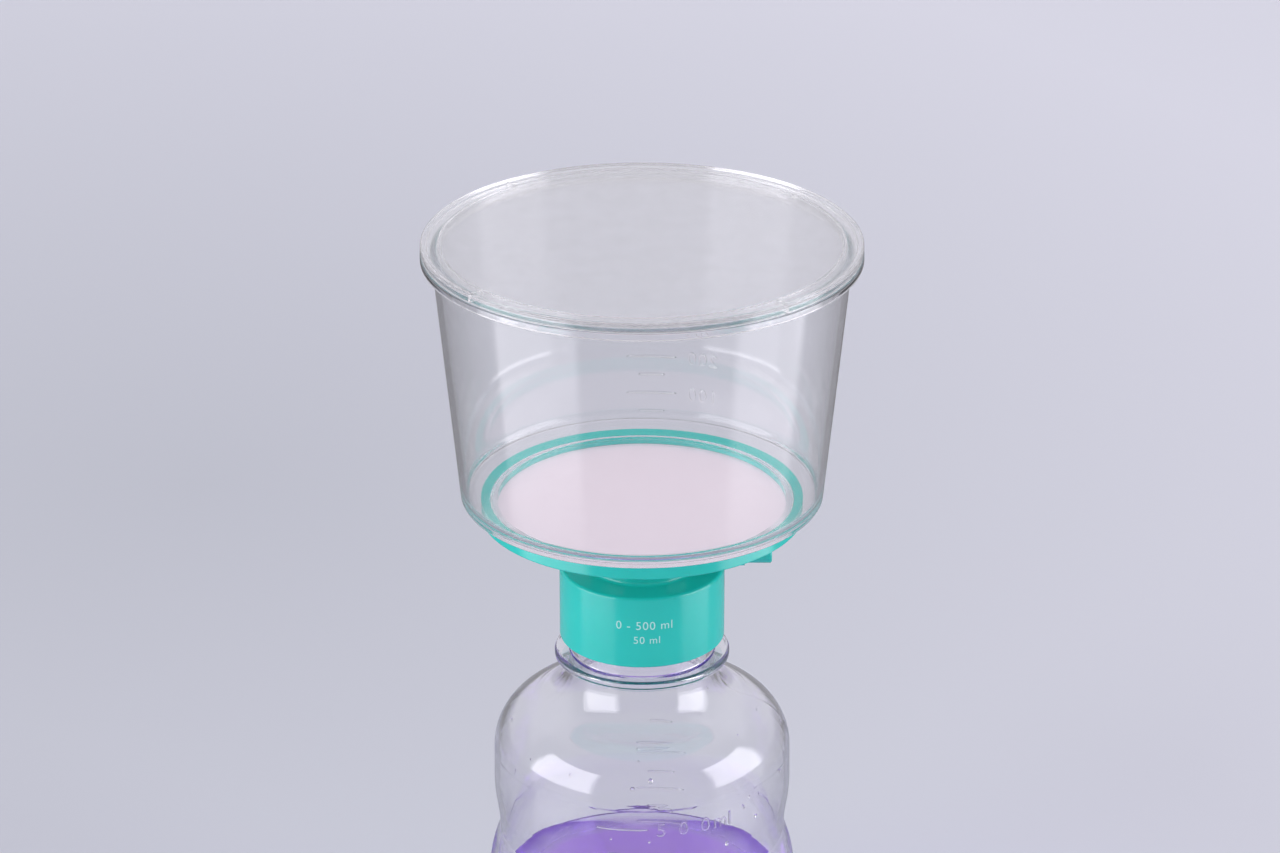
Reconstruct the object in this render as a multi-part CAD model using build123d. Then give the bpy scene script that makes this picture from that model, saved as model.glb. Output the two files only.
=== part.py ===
from build123d import *
import os
from math import cos, radians, sin, tan

# A 500 ml bottle-top vacuum filtration unit: a clear funnel with a lid, a flat membrane on a slotted
# support plate, a coloured base with a hose port and a threaded collar, and the receiver bottle that
# the collar screws on to. Millimetres, +Z up, Z = 0 under the bottle, everything turned about the Z axis.

# ---------------------------------------------------------------- driving dimensions
# Bottle, from the foot up
FOOT_R = 46.4            # lower body
FOOT_FILLET = 5.0        # between the body and the ring that it stands on
STAND_RING_W = 3.5       # width of that ring
PUSH_UP = 3.5            # how far the middle of the bottom is domed up
LOWER_BODY_H = 45.0      # straight lower body, with its fillet
FLARE_H = 20.0           # from the lower body in to the waist
GRIP_DEPTH = 3.5         # how much narrower the waist is than the lower body, for the fingers
CHEST_RISE_H = 17.0      # from the waist out to the chest
CHEST_SWELL = 1.55       # how much wider the chest is than the waist
CHEST_FALL_H = 9.5       # from the chest to where the shoulder starts to turn
CHEST_TAPER = 0.1        # how much narrower it is there
SHOULDER_ARC = 16.8
SHOULDER_PITCH = 17.0    # degrees, slope of the shoulder's cone
BOTTLE_WALL = 1.6
NECK_R = 21.5            # neck between the threads
NECK_WALL = 2.3
NECK_FOOT_H = 10.51      # neck under the transfer bead, down to the line of the shoulder's cone
BEAD_W = 4.5             # how far the bead stands out of the neck
BEAD_T = 3.0
BEAD_NOSE_ROUND = 1.2
NECK_H = 23.3            # bead to lip
FILL_H = 43.5            # level of the filtrate
# How far each curve of the bottle's side holds its upright direction, as a share of the curve's height
FLARE_HOLD = 0.70
GRIP_HOLD = 0.15
CHEST_HOLD = 0.45
TURN_HOLD = 0.35
DOME_HOLD = 0.75         # share of the push-up left at half the ring's radius

# Screw thread, one ridge on the neck and one in the collar
THREAD_PITCH = 4.0
THREAD_DEPTH = 1.1
THREAD_ROOT_W = 2.2
THREAD_CREST_W = 1.1
NECK_THREAD_TURNS = 1.5
COLLAR_THREAD_TURNS = 1.25
THREAD_START = 3.0       # lip to the top end of the neck's ridge
THREAD_GAP = 0.4         # radial, crest to the facing root
FLANK_GAP = 0.3          # axial, between the loaded flanks
RUN_OUT = 18.0           # degrees over which each end of a ridge fades
SINK = 0.2               # how deep a ridge or rib is set into its wall

# Base: dish, stem, collar, ports
COLLAR_WALL = 1.45
COLLAR_H = 22.4
COLLAR_ROOF_T = 1.9
STEM_R = 15.6
STEM_WALL = 1.8
STEM_H = 19.3            # top of the collar to the underside of the membrane
RIM_WALL = 2.65          # rim of the dish, round the membrane
RIM_DROP = 1.9           # membrane to the rim's lower edge
RIM_FLAT = 1.55          # width of the rim's lower face
DISH_PITCH = 18.0        # degrees, slope of the dish
DISH_WALL = 1.6          # measured upright
DRAIN_R = 4.0
DRAIN_BORE_R = 2.6
DRAIN_TIP = 8.2          # how far the drain reaches below the bottle's lip
DRAIN_BEVEL = 30.0       # degrees, slanted end of the drain
PORT_R = 4.1             # end of the hose port, which the hose slides over
PORT_ROOT_R = 4.9        # thicker root of the port, which stops the hose
PORT_HOSE_L = 8.0        # length of the end
PORT_BORE_R = 2.1
PORT_REACH = 38.3        # axis of the unit to the end of the port
PORT_DROP = 14.7         # membrane to the port's axis
PORT_END_CHAMFER = 0.4
PORT_WEB_T = 1.5         # upright webs that tie the root to the dish and the collar
RIB_COUNT = 12
RIB_T = 1.0

# Membrane, support plate, gasket, plug
MEMBRANE_R = 45.0
MEMBRANE_T = 0.2
MEMBRANE_GAP = 0.2       # membrane's edge to the rim
PLATE_T = 1.2
PLATE_LEDGE = 2.4        # width of the ledge that carries the plate
SLOT_RINGS = 6
SLOT_W = 1.6
SPOKE_W = 2.4
GASKET_T = 1.6
GASKET_LAP = 1.4         # how far the gasket reaches in past the neck's bore
GASKET_GAP = 0.2         # gasket's edge to the collar
PLUG_L = 8.0
PLUG_SET_IN = 4.0        # port's end to the plug
PLUG_GAP = 0.05

# Funnel and lid
CUP_OVERHANG = 5.3       # how far the cup's lower corner stands out past the dish
CUP_FLARE = 7.35         # how much wider the cup is at the flange than at that corner
CUP_FOOT_Z = 4.2         # membrane to the lower corner of the cup
CUP_H = 73.8             # that corner to the underside of the flange
CUP_WALL = 1.7
FLOOR_T = 2.3
CLAMP_W = 2.5            # ring of the membrane held under the funnel's spigot
FLANGE_W = 3.3           # how far the flange stands out of the wall
FLANGE_T = 2.4
LID_STEP = 0.1           # how much smaller than the flange the lid is
LID_SEAT_GAP = 0.05      # air between the lid's skirt and the flange that it rests on
LID_H = 2.9              # skirt to top
LID_T = 1.5
SKIRT_W = 1.8
LID_RIB_W = 0.8
LID_RIB_DROP = 1.2       # how far the locating rib reaches into the cup
LID_GAP = 0.3
NIB_COUNT = 4            # small stand-off nibs in the corner of the lid
NIB_START = -50.0        # degrees, the first nib
NIB_W = 1.0

# Roundings
EDGE_ROUND = 0.4         # free moulded edges
RIM_ROUND = 0.8          # flange root and lid edge
CORNER_ROUND = 1.0       # collar and stem root
NECK_ROUND = 12.7        # shoulder to neck, on the outside
CONE_SHARE = 0.98        # most of the shoulder's cone that the rounding at the neck may take up
FLOOR_ROUND = 4.0        # cup wall to cup floor

# ---------------------------------------------------------------- radii and levels worked out from them
STAND_RING_R = FOOT_R - FOOT_FILLET - STAND_RING_W
WAIST_R = FOOT_R - GRIP_DEPTH
CHEST_R = WAIST_R + CHEST_SWELL
SHOULDER_R = CHEST_R - CHEST_TAPER
NECK_BORE_R = NECK_R - NECK_WALL
BEAD_R = NECK_R + BEAD_W
COLLAR_BORE_R = NECK_R + THREAD_DEPTH + THREAD_GAP
COLLAR_R = COLLAR_BORE_R + COLLAR_WALL
GASKET_BORE_R = NECK_BORE_R - GASKET_LAP
RIM_BORE_R = MEMBRANE_R + MEMBRANE_GAP
DISH_R = RIM_BORE_R + RIM_WALL
WINDOW_R = MEMBRANE_R - CLAMP_W
CUP_FOOT_R = DISH_R + CUP_OVERHANG
CUP_MOUTH_R = CUP_FOOT_R + CUP_FLARE
FLANGE_R = CUP_MOUTH_R + FLANGE_W
LID_R = FLANGE_R - LID_STEP

WAIST_Z = LOWER_BODY_H + FLARE_H
CHEST_Z = WAIST_Z + CHEST_RISE_H
SHOULDER_Z = CHEST_Z + CHEST_FALL_H
CONE_START_R = SHOULDER_R - SHOULDER_ARC * (1 - sin(radians(SHOULDER_PITCH)))
CONE_START_Z = SHOULDER_Z + SHOULDER_ARC * cos(radians(SHOULDER_PITCH))
NECK_Z = CONE_START_Z + (CONE_START_R - NECK_R) * tan(radians(SHOULDER_PITCH))
BEAD_Z = NECK_Z + NECK_FOOT_H
LIP_Z = BEAD_Z + BEAD_T + NECK_H
COLLAR_TOP_Z = LIP_Z + GASKET_T + COLLAR_ROOF_T
MEMBRANE_Z = COLLAR_TOP_Z + STEM_H
CUP_Z = MEMBRANE_Z + CUP_FOOT_Z
FLANGE_Z = CUP_Z + CUP_H
CUP_TOP_Z = FLANGE_Z + FLANGE_T
LID_FOOT_Z = CUP_TOP_Z + LID_SEAT_GAP
LID_TOP_Z = LID_FOOT_Z + LID_H
PORT_Z = MEMBRANE_Z - PORT_DROP


def dish_under(r):
    """Height of the dish's underside at radius r; the funnel's floor has the same slope."""
    return MEMBRANE_Z - RIM_DROP - (DISH_R - RIM_FLAT - r) * tan(radians(DISH_PITCH))


def dish_floor(r):
    return dish_under(r) + DISH_WALL


def cup_floor_under(r):
    return CUP_Z - (CUP_FOOT_R - r) * tan(radians(DISH_PITCH))


def cup_radius(z):
    """Outer radius of the funnel's tapered wall at height z."""
    return CUP_FOOT_R + (CUP_MOUTH_R - CUP_FOOT_R) * (z - CUP_Z) / CUP_H


# ---------------------------------------------------------------- helpers
def turned(section, corners=()):
    """Turn a (radius, height) section about Z, with its (radius, height, fillet) corners rounded first."""
    for r, z, size in corners:
        corner = section.vertices().sort_by_distance((r, z, 0))[0]
        section = fillet(corner, size)
    return revolve(Plane.XZ * section, Axis.Z)


def polygon(*points):
    return make_face(Polyline(*points, close=True).edges())


def ridge_section(r_root, r_crest, z, turn):
    """Trapezoid across a thread ridge at height z, with the ridge turned by turn degrees."""
    root, crest = THREAD_ROOT_W / 2, THREAD_CREST_W / 2
    points = [(r_root, z - root), (r_crest, z - crest), (r_crest, z + crest), (r_root, z + root)]
    return Wire.make_polygon([Vector(r, 0, h).rotate(Axis.Z, turn) for r, h in points], close=True)


def ridge(r_root, r_crest, z_low, turns):
    """Helical thread ridge from z_low up, ruled between four helices, with faded ends."""
    rise = THREAD_PITCH * turns
    root, crest = THREAD_ROOT_W / 2, THREAD_CREST_W / 2
    corners = [(r_root, -root), (r_crest, -crest), (r_crest, crest), (r_root, root)]
    rails = [Pos(0, 0, z_low + dz) * Helix(THREAD_PITCH, rise, r).edge() for r, dz in corners]
    sides = [Face.make_surface_from_curves(a, b) for a, b in zip(rails, rails[1:] + rails[:1])]
    ends = [Face(Wire.make_polygon([rail.position_at(at) for rail in rails], close=True)) for at in (0, 1)]
    body = Solid(Shell(sides + ends))
    faded = r_root + (r_crest - r_root) * SINK / THREAD_DEPTH
    for z_end, turn, way in ((z_low, 0, -1), (z_low + rise, 360 * turns, 1)):
        nose_z = z_end + way * THREAD_PITCH * RUN_OUT / 360
        full = ridge_section(r_root, r_crest, z_end, turn)
        nose = ridge_section(r_root, faded, nose_z, turn + way * RUN_OUT)
        body += Solid.make_loft([full, nose], ruled=True)
    return body


# ---------------------------------------------------------------- bottle
def body_side(inset):
    """Edges of the bottle's side, foot fillet to the end of the shoulder arc, moved in by inset."""
    foot, waist, chest, shoulder = (r - inset for r in (FOOT_R, WAIST_R, CHEST_R, SHOULDER_R))
    flare = FLARE_HOLD * FLARE_H
    grip = GRIP_HOLD * FLARE_H
    rise = CHEST_HOLD * CHEST_RISE_H
    turn = TURN_HOLD * CHEST_FALL_H
    arc_r = SHOULDER_ARC - inset
    return [
        Line((foot, FOOT_FILLET), (foot, LOWER_BODY_H)),
        Bezier((foot, LOWER_BODY_H), (foot, LOWER_BODY_H + flare),
               (waist, WAIST_Z - grip), (waist, WAIST_Z)),
        Bezier((waist, WAIST_Z), (waist, WAIST_Z + rise), (chest, CHEST_Z - rise), (chest, CHEST_Z)),
        Bezier((chest, CHEST_Z), (chest, CHEST_Z + turn),
               (shoulder, SHOULDER_Z - turn), (shoulder, SHOULDER_Z)),
        CenterArc((shoulder - arc_r, SHOULDER_Z), arc_r, 0, 90 - SHOULDER_PITCH),
    ]


def bottom_edges(inset):
    """Edges of the domed bottom, from the axis out to the start of the side."""
    fillet_r = FOOT_FILLET - inset
    foot = FOOT_R - inset
    ring_out = foot - fillet_r
    dome_mid = (STAND_RING_R / 2, inset + DOME_HOLD * PUSH_UP)
    return [
        ThreePointArc((0, inset + PUSH_UP), dome_mid, (STAND_RING_R, inset)),
        Line((STAND_RING_R, inset), (ring_out, inset)),
        CenterArc((ring_out, FOOT_FILLET), fillet_r, -90, 90),
    ]


def bottle_outline(inset, neck_r, top_edges):
    """Closed half section: bottom, side, shoulder cone to neck_r, then the neck's own points."""
    side = bottom_edges(inset) + body_side(inset)
    cone_start = side[-1] @ 1
    cone_end_z = cone_start.Y + (cone_start.X - neck_r) * tan(radians(SHOULDER_PITCH))
    points = [(cone_start.X, cone_start.Y), (neck_r, cone_end_z)] + top_edges + [(0, top_edges[-1][1])]
    closing = [(0, top_edges[-1][1]), (0, inset + PUSH_UP)]
    return make_face(Curve() + side + Polyline(*points).edges() + [Line(*closing)])


def neck_round(inset, neck_r):
    """Radius between the shoulder's cone and the neck, as large as wanted or as the cone's length allows."""
    start_r = CONE_START_R - inset * sin(radians(SHOULDER_PITCH))
    cone_l = (start_r - neck_r) / cos(radians(SHOULDER_PITCH))
    return min(NECK_ROUND + inset, CONE_SHARE * cone_l / tan(radians(90 - SHOULDER_PITCH) / 2))


def bottle_inside():
    """The room inside the bottle; its round below the neck has the outside's centre."""
    outline = bottle_outline(BOTTLE_WALL, NECK_BORE_R, [(NECK_BORE_R, LIP_Z)])
    return turned(outline, ((NECK_BORE_R, NECK_Z, neck_round(BOTTLE_WALL, NECK_BORE_R)),))


def make_bottle():
    bead_top_z = BEAD_Z + BEAD_T
    neck = [(NECK_R, BEAD_Z), (BEAD_R, BEAD_Z), (BEAD_R, bead_top_z), (NECK_R, bead_top_z), (NECK_R, LIP_Z)]
    outside = turned(bottle_outline(0, NECK_R, neck), (
        (NECK_R, NECK_Z, neck_round(0, NECK_R)),
        (BEAD_R, BEAD_Z, BEAD_NOSE_ROUND),
        (BEAD_R, bead_top_z, BEAD_NOSE_ROUND),
        (NECK_R, bead_top_z, EDGE_ROUND),
        (NECK_R, LIP_Z, EDGE_ROUND),
    ))
    rise = THREAD_PITCH * NECK_THREAD_TURNS
    thread = ridge(NECK_R - SINK, NECK_R + THREAD_DEPTH, LIP_Z - THREAD_START - rise, NECK_THREAD_TURNS)
    return outside - bottle_inside() + thread


def make_filtrate():
    """The liquid: the inside of the bottle up to its level."""
    return bottle_inside() & Pos(0, 0, FILL_H / 2) * Cylinder(FOOT_R, FILL_H)


# ---------------------------------------------------------------- base
def make_dish():
    """Dish with its rim, its plate ledge and the drain tube, as one turned section."""
    ledge_r = RIM_BORE_R - PLATE_LEDGE
    ledge_z = MEMBRANE_Z - PLATE_T
    flat_r = DISH_R - RIM_FLAT
    tip_z = LIP_Z - DRAIN_TIP
    section = polygon(
        (DRAIN_BORE_R, dish_floor(DRAIN_BORE_R)), (ledge_r, dish_floor(ledge_r)), (ledge_r, ledge_z),
        (RIM_BORE_R, ledge_z), (RIM_BORE_R, cup_floor_under(RIM_BORE_R)), (DISH_R, cup_floor_under(DISH_R)),
        (DISH_R, dish_under(flat_r)), (flat_r, dish_under(flat_r)), (DRAIN_R, dish_under(DRAIN_R)),
        (DRAIN_R, tip_z), (DRAIN_BORE_R, tip_z))
    dish = turned(section, ((DISH_R, dish_under(flat_r), EDGE_ROUND),))
    slope = tan(radians(DRAIN_BEVEL))
    wedge = polygon((-DRAIN_R, tip_z), (DRAIN_R, tip_z), (DRAIN_R, tip_z + 2 * DRAIN_R * slope))
    return dish - extrude(Plane.XZ * wedge, amount=DRAIN_R, both=True)


def make_stem_and_collar():
    top_z = dish_under(STEM_R) + SINK
    roof_z = COLLAR_TOP_Z - COLLAR_ROOF_T
    foot_z = COLLAR_TOP_Z - COLLAR_H
    bore_r = STEM_R - STEM_WALL
    section = polygon(
        (bore_r, top_z), (STEM_R, top_z), (STEM_R, COLLAR_TOP_Z), (COLLAR_R, COLLAR_TOP_Z),
        (COLLAR_R, foot_z), (COLLAR_BORE_R, foot_z), (COLLAR_BORE_R, roof_z), (bore_r, roof_z))
    return turned(section, (
        (STEM_R, COLLAR_TOP_Z, CORNER_ROUND),
        (COLLAR_R, COLLAR_TOP_Z, CORNER_ROUND),
        (COLLAR_R, foot_z, EDGE_ROUND),
        (COLLAR_BORE_R, foot_z, EDGE_ROUND),
        (bore_r, roof_z, EDGE_ROUND),
    ))


def make_ribs():
    """Radial ribs that carry the support plate, cut to the dish's floor."""
    inner, outer = 2 * DRAIN_R, RIM_BORE_R - PLATE_LEDGE + SINK
    top_z = MEMBRANE_Z - PLATE_T
    zone = turned(polygon((inner, dish_floor(inner) - SINK), (outer, dish_floor(outer) - SINK),
                          (outer, top_z), (inner, top_z)))
    length, height = outer, top_z - dish_floor(0)
    bar = Pos(length / 2, 0, top_z - height / 2) * Box(length, RIB_T, height)
    return [Rot(0, 0, 360 * i / RIB_COUNT) * bar & zone for i in range(RIB_COUNT)]


def along_port(x):
    return Plane(origin=(x, 0, PORT_Z), z_dir=(1, 0, 0))


def make_port():
    """Hose port with the webs above and below its root; its bore is cut later, through the stem's wall."""
    start = STEM_R - STEM_WALL / 4
    upper_end = PORT_REACH - PORT_HOSE_L
    tube = extrude(along_port(start) * Circle(PORT_R), amount=PORT_REACH - start)
    tube = chamfer(tube.edges().group_by(Axis.X)[-1], PORT_END_CHAMFER)
    tube += extrude(along_port(start) * Circle(PORT_ROOT_R), amount=upper_end - start)
    lower_end = COLLAR_R - COLLAR_WALL
    foot_z = COLLAR_TOP_Z - SINK
    upper = polygon((start, PORT_Z), (start, dish_under(start) + SINK),
                    (upper_end, dish_under(upper_end) + SINK), (upper_end, PORT_Z))
    lower = polygon((start, PORT_Z), (start, foot_z), (lower_end, foot_z), (lower_end, PORT_Z))
    return tube + extrude(Plane.XZ * (upper + lower), amount=PORT_WEB_T / 2, both=True)


def make_base():
    bore_start = STEM_R - STEM_WALL - SINK
    bore = extrude(along_port(bore_start) * Circle(PORT_BORE_R), amount=PORT_REACH - bore_start)
    rise = THREAD_PITCH * COLLAR_THREAD_TURNS
    # upright distance between the two ridges' middle lines when their flanks just touch
    flank_slope = (THREAD_ROOT_W - THREAD_CREST_W) / 2 / THREAD_DEPTH
    meshed = (THREAD_ROOT_W + THREAD_CREST_W) / 2 - THREAD_GAP * flank_slope
    z_low = LIP_Z - THREAD_START - THREAD_PITCH * NECK_THREAD_TURNS - meshed - FLANK_GAP
    thread = ridge(COLLAR_BORE_R + SINK, COLLAR_BORE_R - THREAD_DEPTH, z_low, COLLAR_THREAD_TURNS)
    base = make_dish() + make_stem_and_collar() + make_port() + thread
    for rib in make_ribs():
        base += rib
    return base - bore


# ---------------------------------------------------------------- what the base carries
def make_support_plate():
    """Flat plate with rings of arc slots between radial spokes."""
    ring_step = (WINDOW_R - SLOT_W) / SLOT_RINGS
    slots = Sketch()
    for i in range(1, SLOT_RINGS + 1):
        r = ring_step * i
        slots += Circle(r + SLOT_W / 2) - Circle(r - SLOT_W / 2)
    for i in range(RIB_COUNT // 2):
        slots -= Rot(0, 0, 360 * i / RIB_COUNT) * Rectangle(2 * MEMBRANE_R, SPOKE_W)
    plate = Circle(MEMBRANE_R) - slots
    return extrude(Pos(0, 0, MEMBRANE_Z - PLATE_T) * plate, amount=PLATE_T)


def make_membrane():
    return Pos(0, 0, MEMBRANE_Z + MEMBRANE_T / 2) * Cylinder(MEMBRANE_R, MEMBRANE_T)


def make_gasket():
    outer = COLLAR_BORE_R - GASKET_GAP
    ring = Cylinder(outer, GASKET_T) - Cylinder(GASKET_BORE_R, GASKET_T)
    return Pos(0, 0, LIP_Z + GASKET_T / 2) * ring


def make_vent_plug():
    start = PORT_REACH - PLUG_SET_IN - PLUG_L
    return extrude(along_port(start) * Circle(PORT_BORE_R - PLUG_GAP), amount=PLUG_L)


# ---------------------------------------------------------------- funnel and lid
def make_funnel():
    spigot_r = RIM_BORE_R - MEMBRANE_GAP
    spigot_z = MEMBRANE_Z + MEMBRANE_T
    floor_top_z = cup_floor_under(WINDOW_R) + FLOOR_T
    slope = tan(radians(DISH_PITCH))
    lean = (CUP_MOUTH_R - CUP_FOOT_R) / CUP_H
    # where the wall's inside meets the floor's top
    inner_r = (CUP_FOOT_R - CUP_WALL + lean * (FLOOR_T - slope * CUP_FOOT_R)) / (1 - lean * slope)
    inner_z = cup_floor_under(inner_r) + FLOOR_T
    mouth_r = cup_radius(CUP_TOP_Z) - CUP_WALL
    section = polygon(
        (WINDOW_R, spigot_z), (spigot_r, spigot_z), (spigot_r, cup_floor_under(spigot_r)),
        (CUP_FOOT_R, CUP_Z), (CUP_MOUTH_R, FLANGE_Z), (FLANGE_R, FLANGE_Z), (FLANGE_R, CUP_TOP_Z),
        (mouth_r, CUP_TOP_Z), (inner_r, inner_z), (WINDOW_R, floor_top_z))
    return turned(section, (
        (CUP_FOOT_R, CUP_Z, EDGE_ROUND),
        (CUP_MOUTH_R, FLANGE_Z, RIM_ROUND),
        (FLANGE_R, FLANGE_Z, EDGE_ROUND),
        (FLANGE_R, CUP_TOP_Z, EDGE_ROUND),
        (mouth_r, CUP_TOP_Z, EDGE_ROUND),
        (inner_r, inner_z, FLOOR_ROUND),
        (WINDOW_R, floor_top_z, EDGE_ROUND),
    ))


def make_lid():
    """Flat lid whose skirt and nibs rest on the funnel's flange, with a locating rib inside the mouth."""
    under_z = LID_TOP_Z - LID_T
    rib_z = CUP_TOP_Z - LID_RIB_DROP
    rib_r = cup_radius(rib_z) - CUP_WALL - LID_GAP
    rib_bore_r = rib_r - LID_RIB_W
    skirt_r = LID_R - SKIRT_W
    section = polygon(
        (0, LID_TOP_Z), (LID_R, LID_TOP_Z), (LID_R, LID_FOOT_Z), (skirt_r, LID_FOOT_Z), (skirt_r, under_z),
        (rib_r, under_z), (rib_r, rib_z), (rib_bore_r, rib_z), (rib_bore_r, under_z), (0, under_z))
    lid = turned(section, (
        (LID_R, LID_TOP_Z, RIM_ROUND),
        (LID_R, LID_FOOT_Z, EDGE_ROUND),
        (rib_r, rib_z, EDGE_ROUND),
    ))
    length = skirt_r - rib_r + 2 * SINK
    height = under_z + SINK - LID_FOOT_Z
    nib = Pos((skirt_r + rib_r) / 2, 0, LID_FOOT_Z + height / 2) * Box(length, NIB_W, height)
    for i in range(NIB_COUNT):
        lid += Rot(0, 0, NIB_START + 360 * i / NIB_COUNT) * nib
    return lid


# ---------------------------------------------------------------- export
pieces = {
    "bottle": make_bottle(),
    "filtrate": make_filtrate(),
    "neck_gasket": make_gasket(),
    "base_adapter": make_base(),
    "vent_plug": make_vent_plug(),
    "support_plate": make_support_plate(),
    "membrane": make_membrane(),
    "funnel": make_funnel(),
    "lid": make_lid(),
}

os.makedirs("parts", exist_ok=True)
for name, shape in pieces.items():
    export_step(shape, f"parts/{name}.step")
    print(f"{name}: {len(shape.solids())} solid, {shape.volume / 1000:.2f} cm3")
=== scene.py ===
# %% [markdown]
# # A vacuum filtration unit, dressed for the studio
# A laboratory filter unit has a clear funnel with a lid on top, a coloured base that holds a white membrane, and a
# clear bottle that collects what runs through. The sizes are fixed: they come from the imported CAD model, which is
# loaded here and never changed. This lesson adds what the CAD leaves out: the finish of each moulding, the raised
# scales, the liquid's surface, the droplets, and the light.

import math

import bpy
import numpy as np
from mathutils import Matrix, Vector


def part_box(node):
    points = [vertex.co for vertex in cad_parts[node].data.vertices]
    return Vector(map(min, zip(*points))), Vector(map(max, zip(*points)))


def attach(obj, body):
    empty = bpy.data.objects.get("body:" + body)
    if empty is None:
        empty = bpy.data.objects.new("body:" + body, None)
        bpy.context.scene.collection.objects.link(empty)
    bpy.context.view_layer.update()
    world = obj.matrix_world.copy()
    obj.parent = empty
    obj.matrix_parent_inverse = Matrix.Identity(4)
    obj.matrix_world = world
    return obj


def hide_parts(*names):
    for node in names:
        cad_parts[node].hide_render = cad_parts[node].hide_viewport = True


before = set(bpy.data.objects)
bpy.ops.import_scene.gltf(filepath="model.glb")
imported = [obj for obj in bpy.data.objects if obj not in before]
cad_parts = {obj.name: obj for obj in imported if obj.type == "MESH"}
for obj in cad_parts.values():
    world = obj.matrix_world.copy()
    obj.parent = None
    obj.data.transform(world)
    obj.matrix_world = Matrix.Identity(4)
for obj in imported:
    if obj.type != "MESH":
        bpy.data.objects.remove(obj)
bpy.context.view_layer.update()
scene = bpy.context.scene
MM = 0.001

# %% [markdown]
# ## The camera
# A long lens keeps the cylinders almost free of perspective, as product shots do. The camera looks down at the unit
# at about 24 degrees, so that the lid, the membrane and the liquid all show as ellipses. The bottle's foot falls
# below the picture, because the aim is a point on the axis in the lower part of the funnel. The lens is shifted by a
# hair, so that the unit stands just right of the middle.

# %% Camera
LENS_MM = 131.3
CAMERA_AWAY = 1.3625
CAMERA_DOWN = math.radians(23.72)
AIM = Vector((0, 0, 0.1953))
LENS_SHIFT = -0.0016

toward_camera = Vector((0, -math.cos(CAMERA_DOWN), math.sin(CAMERA_DOWN)))
camera_data = bpy.data.cameras.new("studio_camera")
camera_data.lens = LENS_MM
camera_data.shift_x = LENS_SHIFT
camera = bpy.data.objects.new("studio_camera", camera_data)
camera.location = AIM + toward_camera * CAMERA_AWAY
camera.rotation_euler = (-toward_camera).to_track_quat("-Z", "Y").to_euler()
scene.collection.objects.link(camera)
scene.camera = camera
print("camera at", [round(c, 3) for c in camera.location])

# %% [markdown]
# ## Colours and nodes
# Colours are written as hex codes, as a paint chart gives them. Blender's shaders work in linear light, so one
# function turns a code into linear values. One more function adds a node: its settings are keyword arguments, and
# its sockets are a dictionary of plain values or of other nodes' outputs.

# %% Colour and node helpers
def linear(code):
    """An sRGB hex colour as linear RGBA: each channel c is c/12.92 when dark, and ((c + 0.055)/1.055)**2.4 above."""
    channels = [int(code[i : i + 2], 16) / 255 for i in (1, 3, 5)]
    bent = [c / 12.92 if c <= 0.04045 else ((c + 0.055) / 1.055) ** 2.4 for c in channels]
    return (*bent, 1.0)


def add(tree, kind, sockets=None, **settings):
    """Adds a shader node; settings are its properties, and sockets its inputs, as values or as outputs to join."""
    node = tree.nodes.new("ShaderNode" + kind)
    for name, value in settings.items():
        setattr(node, name, value)
    for name, value in (sockets or {}).items():
        if isinstance(value, bpy.types.NodeSocket):
            tree.links.new(value, node.inputs[name])
        else:
            node.inputs[name].default_value = value
    return node


print("teal in linear light:", [round(c, 3) for c in linear("#2AB2A8")])

# %% [markdown]
# ## The light tent
# Clear plastic has no colour of its own to show. What the eye reads as its shape is the reflection of what stands
# round it, so the light is built as the things it would mirror: two tall softboxes, one at each side, with straight
# edges, and a dim gap behind the camera. A world shader can draw them, because it is a function of direction: the
# turn round the vertical axis picks softbox or gap, and the height above the horizon sets how bright the softbox is.
# Lamps would light as well, but they would show as small hard spots.

# %% World
HALF_TURN = 180.0
SOFTBOXES = [(-95, 0), (-91, 1), (-41, 1), (-36, 0), (54, 0), (60, 1), (102, 1), (108, 0)]


def grey_ramp(share, stops, reach):
    """A Color Ramp node over a share from 0 to 1 that stands for -reach to +reach, with (place, grey value) stops."""
    node = add(sky, "ValToRGB", {0: share})
    for _ in stops[2:]:
        node.color_ramp.elements.new(0.5)
    for element, (place, value) in zip(node.color_ramp.elements, stops):
        element.position = (place + reach) / (2 * reach)
        element.color = (value, value, value, 1)
    return node.outputs[0]


world = bpy.data.worlds.new("light_tent")
scene.world = world
world.use_nodes = True
sky = world.node_tree
sky.nodes.clear()
direction = add(sky, "SeparateXYZ", {0: add(sky, "TexCoord").outputs["Generated"]})
toward_front = add(sky, "Math", {0: direction.outputs["Y"], 1: -1.0}, operation="MULTIPLY")
turn = add(sky, "Math", {0: direction.outputs["X"], 1: toward_front.outputs[0]}, operation="ARCTAN2")
turn_share = add(
    sky, "MapRange",
    {"Value": turn.outputs[0], "From Min": -math.pi, "From Max": math.pi, "To Min": 0.0, "To Max": 1.0},
)
softbox = grey_ramp(turn_share.outputs[0], SOFTBOXES, HALF_TURN)
print("softboxes fully lit at these turns:", [turn for turn, value in SOFTBOXES if value])

# %% [markdown]
# The room between the softboxes has two layers. Below the horizon, dark cards stand half way to the back on both
# sides, because a clear edge is drawn by something dark that it mirrors at a grazing angle. The ceiling is lighter,
# mostly at the back. Each layer has its own ramp round the turn, and a smooth step over the height leads from one to
# the next. The height is the direction's z: the sine of the angle above the horizon.

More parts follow.
